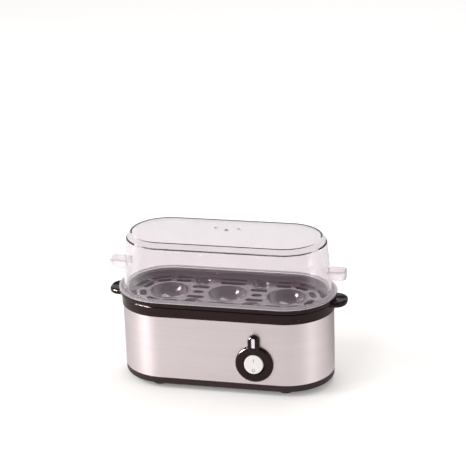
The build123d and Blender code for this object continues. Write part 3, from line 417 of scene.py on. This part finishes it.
# Bars, nuts, fuse can and screws: steel plated with bright zinc, a cool silver with the cloudy
# patches that the passivation bath leaves.
zinc_plate, tree = material("zinc_plated_steel")
place = node(tree, "TexCoord").outputs["Object"]
cloud = node(tree, "TexNoise", links={"Vector": place}, Scale=1 / (2.5 * mm), Detail=4.0)
tone = node(tree, "ValToRGB", links={"Fac": cloud})
tone.color_ramp.elements[0].color = linear("#B4B8BE")
tone.color_ramp.elements[1].color = linear("#D2D4D6")
dull = node(tree, "MapRange", links={"Value": cloud}, To_Min=0.26, To_Max=0.42)
shader = node(tree, "BsdfPrincipled", links={"Base Color": tone, "Roughness": dull}, Metallic=1.0)
node(tree, "OutputMaterial", links={"Surface": shader})
finish(zinc_plate, "clamp_bars", "clamp_nuts", "thermal_fuse", "bezel_screws", "clamp_screws")

# The four long screws under the base have pan heads with a cross recess, cold-headed and then
# plated like the rest.
screw_out_x, screw_out_y, screw_steps = 86.14, 28.13, 24
# Radius and height from the tip down to the face of the head.
screw_profile = ((1.1, 35.0), (1.5, 34.4), (1.5, 13.6), (3.0, 13.6), (3.0, 12.6), (2.85, 12.0),
                 (2.5, 11.6), (1.9, 11.4))
screw_turns = [2 * math.pi * k / screw_steps for k in range(screw_steps)]
head_face, recess_floor, recess_taper = 11.4, 12.7, 0.6
arm, tip = 0.35, 1.4  # half the width and half the length of each slot of the cross
cross = [(arm, arm), (tip, arm), (tip, -arm), (arm, -arm), (arm, -tip), (-arm, -tip),
         (-arm, -arm), (-tip, -arm), (-tip, arm), (-arm, arm), (-arm, tip), (arm, tip)]
screws = bmesh.new()
for x, y in ((a * screw_out_x, b * screw_out_y) for a in (-1, 1) for b in (-1, 1)):
    rings = [[screws.verts.new(((x + r * math.cos(t)) * mm, (y + r * math.sin(t)) * mm, z * mm))
              for t in screw_turns] for r, z in screw_profile]
    screws.faces.new(rings[0])
    for upper, lower in zip(rings, rings[1:]):
        for k in range(screw_steps):
            screws.faces.new((upper[k], upper[k - 1], lower[k - 1], lower[k]))
    mouth = [screws.verts.new(((x + u) * mm, (y + v) * mm, head_face * mm)) for u, v in cross]
    floor = [screws.verts.new(((x + recess_taper * u) * mm, (y + recess_taper * v) * mm,
                               recess_floor * mm)) for u, v in cross]
    rim = [screws.edges.get((rings[-1][k], rings[-1][k - 1])) for k in range(screw_steps)]
    rim += [screws.edges.new((mouth[k], mouth[k - 1])) for k in range(len(cross))]
    bmesh.ops.triangle_fill(screws, use_beauty=True, edges=rim)
    for k in range(len(cross)):
        screws.faces.new((mouth[k], mouth[k - 1], floor[k - 1], floor[k]))
    screws.faces.new(floor)
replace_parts(extra("cross_recess_screws", screws, zinc_plate, "base"), "base_screws")

# Thermostat strap, fuse clip and rocker pin: cold-rolled stainless strip and wire, left as it
# comes from the mill, with fine rolling lines.
mill_stainless, tree = material("mill_finish_stainless_steel")
place = node(tree, "TexCoord").outputs["Object"]
roll_space = node(tree, "Mapping", links={"Vector": place})
roll_space.inputs["Scale"].default_value = (1 / (14 * mm), 1 / (0.5 * mm), 1 / (0.5 * mm))
roll_line = node(tree, "TexNoise", links={"Vector": roll_space}, Scale=1.0, Detail=3.0)
tone = node(tree, "ValToRGB", links={"Fac": roll_line})
tone.color_ramp.elements[0].color = linear("#B5B2AF")
tone.color_ramp.elements[1].color = linear("#CDCBC8")
dull = node(tree, "MapRange", links={"Value": roll_line}, To_Min=0.22, To_Max=0.34)
shader = node(tree, "BsdfPrincipled", links={"Base Color": tone, "Roughness": dull}, Metallic=1.0)
node(tree, "OutputMaterial", links={"Surface": shader})
finish(mill_stainless, "thermostat_strap", "fuse_clip", "rocker_pin")

# Egg tray: injection moulded in polypropylene, a violet grey with a satin gloss. Flow lines from
# the gate in the middle show as very faint broad bands.
tray_pp, tree = material("satin_violet_grey_polypropylene")
place = node(tree, "TexCoord").outputs["Object"]
flow_space = node(tree, "Mapping", links={"Vector": place})
flow_space.inputs["Scale"].default_value = (1 / (45 * mm), 1 / (16 * mm), 1 / (16 * mm))
flow = node(tree, "TexNoise", links={"Vector": flow_space}, Scale=1.0, Detail=3.0)
skin = node(tree, "TexNoise", links={"Vector": place},
            Scale=1 / (1.1 * mm), Detail=4.0, Roughness=0.6)
tone = node(tree, "ValToRGB", links={"Fac": flow})
tone.color_ramp.elements[0].color = linear("#46313F")
tone.color_ramp.elements[1].color = linear("#533C4B")
dull = node(tree, "MapRange", links={"Value": skin}, To_Min=0.1, To_Max=0.18)
relief = node(tree, "Bump", links={"Height": skin}, Strength=0.1, Distance=0.04 * mm)
shader = node(tree, "BsdfPrincipled",
              links={"Base Color": tone, "Roughness": dull, "Normal": relief},
              IOR=1.49, Specular_IOR_Level=0.6, Coat_Weight=1.0, Coat_IOR=1.8)
node(tree, "OutputMaterial", links={"Surface": shader})
finish(tray_pp, "egg_tray")

# Lid: injection moulded in clear styrene, water-clear with the least mauve cast. Its skin is
# polished, with slow waves where the melt met. Light passes it as through a window.
clear_styrene, tree = material("clear_moulded_styrene")
place = node(tree, "TexCoord").outputs["Object"]
melt_wave = node(tree, "TexNoise", links={"Vector": place}, Scale=1 / (30 * mm), Detail=2.0)
wipe = node(tree, "TexNoise", links={"Vector": place},
            Scale=1 / (6 * mm), Detail=6.0, Roughness=0.7)
tone = node(tree, "ValToRGB", links={"Fac": melt_wave})
tone.color_ramp.elements[0].color = linear("#F1EDF0")
tone.color_ramp.elements[1].color = linear("#F6F2F5")
dull = node(tree, "MapRange", links={"Value": wipe}, To_Min=0.01, To_Max=0.05)
relief = node(tree, "Bump", links={"Height": melt_wave}, Strength=0.1, Distance=0.3 * mm)
shader = node(tree, "BsdfPrincipled",
              links={"Base Color": tone, "Roughness": dull, "Normal": relief},
              IOR=1.57, Transmission_Weight=1.0)
open_air = node(tree, "BsdfTransparent", Color=linear("#EDE6EA"))
shadow_ray = node(tree, "LightPath").outputs["Is Shadow Ray"]
window = node(tree, "MixShader", links={0: shadow_ray, 1: shader, 2: open_air})
node(tree, "OutputMaterial", links={"Surface": window})
finish(clear_styrene, "lid")

# Flange and tabs of the lid: the tool is etched there, so that fingers don't slip. The same
# styrene looks faintly milky on them, and their thick edges catch the light.
etched_styrene, tree = material("etched_clear_styrene")
place = node(tree, "TexCoord").outputs["Object"]
etch = node(tree, "TexNoise", links={"Vector": place},
            Scale=1 / (0.8 * mm), Detail=4.0, Roughness=0.6)
tone = node(tree, "ValToRGB", links={"Fac": etch})
tone.color_ramp.elements[0].color = linear("#F0ECEF")
tone.color_ramp.elements[1].color = linear("#F6F3F5")
dull = node(tree, "MapRange", links={"Value": etch}, To_Min=0.12, To_Max=0.2)
shader = node(tree, "BsdfPrincipled", links={"Base Color": tone, "Roughness": dull},
              IOR=1.5, Transmission_Weight=0.72)
open_air = node(tree, "BsdfTransparent", Color=linear("#EDE6EA"))
shadow_ray = node(tree, "LightPath").outputs["Is Shadow Ray"]
window = node(tree, "MixShader", links={0: shadow_ray, 1: shader, 2: open_air})
node(tree, "OutputMaterial", links={"Surface": window})
finish(etched_styrene, "lid_tabs")
straight_half, flange_inside, flange_top = 58 * mm, 44.6 * mm, 92.8 * mm
lid_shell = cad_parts["lid"]
lid_shell.data.materials.append(etched_styrene)
for face in lid_shell.data.polygons:
    middle = lid_shell.matrix_world @ face.center
    out = math.hypot(max(abs(middle.x) - straight_half, 0), middle.y)
    if out > flange_inside and middle.z < flange_top:
        face.material_index = 1

# Bezel: the ring and its upright stem are one ABS moulding from a polished tool, held by two
# screws from behind.
finish(polished_abs, "control_bezel")

# Switch: its body, the thermostat's base and the gland's nut are moulded in black nylon, matt
# and a little dusty, because they sit out of sight behind the steel.
black_nylon, tree = material("matt_black_nylon")
place = node(tree, "TexCoord").outputs["Object"]
dust = node(tree, "TexNoise", links={"Vector": place},
            Scale=1 / (2 * mm), Detail=5.0, Roughness=0.65)
tone = node(tree, "ValToRGB", links={"Fac": dust})
tone.color_ramp.elements[0].color = linear("#1D1B1C")
tone.color_ramp.elements[1].color = linear("#302D2E")
dull = node(tree, "MapRange", links={"Value": dust}, To_Min=0.45, To_Max=0.62)
shader = node(tree, "BsdfPrincipled", links={"Base Color": tone, "Roughness": dull}, IOR=1.53)
node(tree, "OutputMaterial", links={"Surface": shader})
finish(black_nylon, "switch_body", "thermostat", "gland_nut")

# Rocker: a round button moulded in white ABS that tips about its pin. Fingers have worn its soft
# gloss a little uneven.
white_abs, tree = material("moulded_white_abs")
place = node(tree, "TexCoord").outputs["Object"]
touch = node(tree, "TexNoise", links={"Vector": place}, Scale=1 / (2.2 * mm), Detail=4.0)
tone = node(tree, "ValToRGB", links={"Fac": touch})
tone.color_ramp.elements[0].color = linear("#E4DFDE")
tone.color_ramp.elements[1].color = linear("#EEEAE9")
dull = node(tree, "MapRange", links={"Value": touch}, To_Min=0.26, To_Max=0.4)
relief = node(tree, "Bump", links={"Height": touch}, Strength=0.1, Distance=0.05 * mm)
shader = node(tree, "BsdfPrincipled",
              links={"Base Color": tone, "Roughness": dull, "Normal": relief},
              IOR=1.53)
node(tree, "OutputMaterial", links={"Surface": shader})
finish(white_abs, "switch_rocker")

# Marks on the rocker: a bar for on and a ring for off, pad-printed in grey ink. The ink lies on
# the plastic as a thin raised film.
grey_ink, tree = material("pad_printed_grey_ink")
place = node(tree, "TexCoord").outputs["Object"]
speck = node(tree, "TexNoise", links={"Vector": place}, Scale=1 / (0.3 * mm), Detail=3.0)
tone = node(tree, "ValToRGB", links={"Fac": speck})
tone.color_ramp.elements[0].color = linear("#6E686B")
tone.color_ramp.elements[1].color = linear("#857F82")
dull = node(tree, "MapRange", links={"Value": speck}, To_Min=0.45, To_Max=0.6)
shader = node(tree, "BsdfPrincipled", links={"Base Color": tone, "Roughness": dull}, IOR=1.5)
node(tree, "OutputMaterial", links={"Surface": shader})
print_out, ink_height, bar_half, bar_reach = 4.9, 0.03, 0.3, 1.5
ring_radii, ring_steps = (1.0, 1.5), 32
rocker_face, face_lean = Vector((35.5, -50.87, 33.5)) * mm, 82
marks = bmesh.new()
bar = [(-bar_half, -bar_reach), (bar_half, -bar_reach), (bar_half, bar_reach),
       (-bar_half, bar_reach)]
marks.faces.new([marks.verts.new((u, print_out + v, 0)) for u, v in bar])
ring_turns = [2 * math.pi * k / ring_steps for k in range(ring_steps)]
inner, outer = [[marks.verts.new((r * math.cos(t), r * math.sin(t) - print_out, 0))
                 for t in ring_turns] for r in ring_radii]
for k in range(ring_steps):
    marks.faces.new((inner[k], inner[k - 1], outer[k - 1], outer[k]))
grown = bmesh.ops.extrude_face_region(marks, geom=marks.faces[:])["geom"]
bmesh.ops.translate(marks, verts=[v for v in grown if isinstance(v, bmesh.types.BMVert)],
                    vec=(0, 0, ink_height))
face_place = Matrix.Translation(rocker_face) @ Matrix.Rotation(math.radians(face_lean), 4, "X")
bmesh.ops.transform(marks, verts=marks.verts, matrix=face_place @ Matrix.Scale(mm, 4))
extra("on_off_marks", marks, grey_ink, "button")

# Terminal blades of the switch and clamping screws of the block: brass, stamped or turned, with a
# warm, slightly tarnished skin.
dull_brass, tree = material("stamped_brass")
place = node(tree, "TexCoord").outputs["Object"]
tarnish = node(tree, "TexNoise", links={"Vector": place}, Scale=1 / (2 * mm), Detail=4.0)
tone = node(tree, "ValToRGB", links={"Fac": tarnish})
tone.color_ramp.elements[0].color = linear("#B08F4B")
tone.color_ramp.elements[1].color = linear("#D1B36C")
dull = node(tree, "MapRange", links={"Value": tarnish}, To_Min=0.25, To_Max=0.42)
shader = node(tree, "BsdfPrincipled", links={"Base Color": tone, "Roughness": dull}, Metallic=1.0)
node(tree, "OutputMaterial", links={"Surface": shader})
finish(dull_brass, "switch_terminals", "block_screws")

# Pilot lens: a small window moulded in acrylic with a frosted skin. Its near-white tone is a
# painted highlight, standing in for the light the clear lens reflects; the lamp behind it is off.
painted_lens_acrylic, tree = material("acrylic_lens_with_painted_highlight")
place = node(tree, "TexCoord").outputs["Object"]
frost = node(tree, "TexNoise", links={"Vector": place}, Scale=1 / (0.6 * mm), Detail=3.0)
tone = node(tree, "ValToRGB", links={"Fac": frost})
tone.color_ramp.elements[0].color = linear("#F3ECF4")
tone.color_ramp.elements[1].color = linear("#FBF6FB")
dull = node(tree, "MapRange", links={"Value": frost}, To_Min=0.12, To_Max=0.26)
shader = node(tree, "BsdfPrincipled", links={"Base Color": tone, "Roughness": dull}, IOR=1.49,
              Transmission_Weight=0.1)
node(tree, "OutputMaterial", links={"Surface": shader})
finish(painted_lens_acrylic, "pilot_lens")

# Neon lamp: a drawn glass bulb, sealed at its tip, behind the lens. Its gas and electrodes give
# the thin glass a faint amber cast.
lamp_glass, tree = material("neon_lamp_glass")
place = node(tree, "TexCoord").outputs["Object"]
cloud = node(tree, "TexNoise", links={"Vector": place}, Scale=1 / (1.5 * mm), Detail=3.0)
tone = node(tree, "ValToRGB", links={"Fac": cloud})
tone.color_ramp.elements[0].color = linear("#E2C9B4")
tone.color_ramp.elements[1].color = linear("#F0E2D4")
dull = node(tree, "MapRange", links={"Value": cloud}, To_Min=0.03, To_Max=0.1)
shader = node(tree, "BsdfPrincipled", links={"Base Color": tone, "Roughness": dull}, IOR=1.5,
              Transmission_Weight=0.8)
node(tree, "OutputMaterial", links={"Surface": shader})
finish(lamp_glass, "neon_lamp")

# Lamp holder, terminal block and cord clamp: injection moulded in natural nylon, a creamy white
# that lets a little light in.
natural_nylon, tree = material("natural_moulded_nylon")
place = node(tree, "TexCoord").outputs["Object"]
cloud = node(tree, "TexNoise", links={"Vector": place}, Scale=1 / (3 * mm), Detail=4.0)
tone = node(tree, "ValToRGB", links={"Fac": cloud})
tone.color_ramp.elements[0].color = linear("#DAD3C4")
tone.color_ramp.elements[1].color = linear("#E8E3D8")
dull = node(tree, "MapRange", links={"Value": cloud}, To_Min=0.35, To_Max=0.5)
shader = node(tree, "BsdfPrincipled", links={"Base Color": tone, "Roughness": dull}, IOR=1.53,
              Subsurface_Weight=0.15, Subsurface_Scale=1 * mm)
node(tree, "OutputMaterial", links={"Surface": shader})
finish(natural_nylon, "lamp_holder", "terminal_block", "cord_clamp")

# Gland: the cord's mouth at the back, moulded in the same black rubber as the feet. Its collar
# sits outside the steel, and the nut holds it from inside.
finish(foot_rubber, "cord_gland")
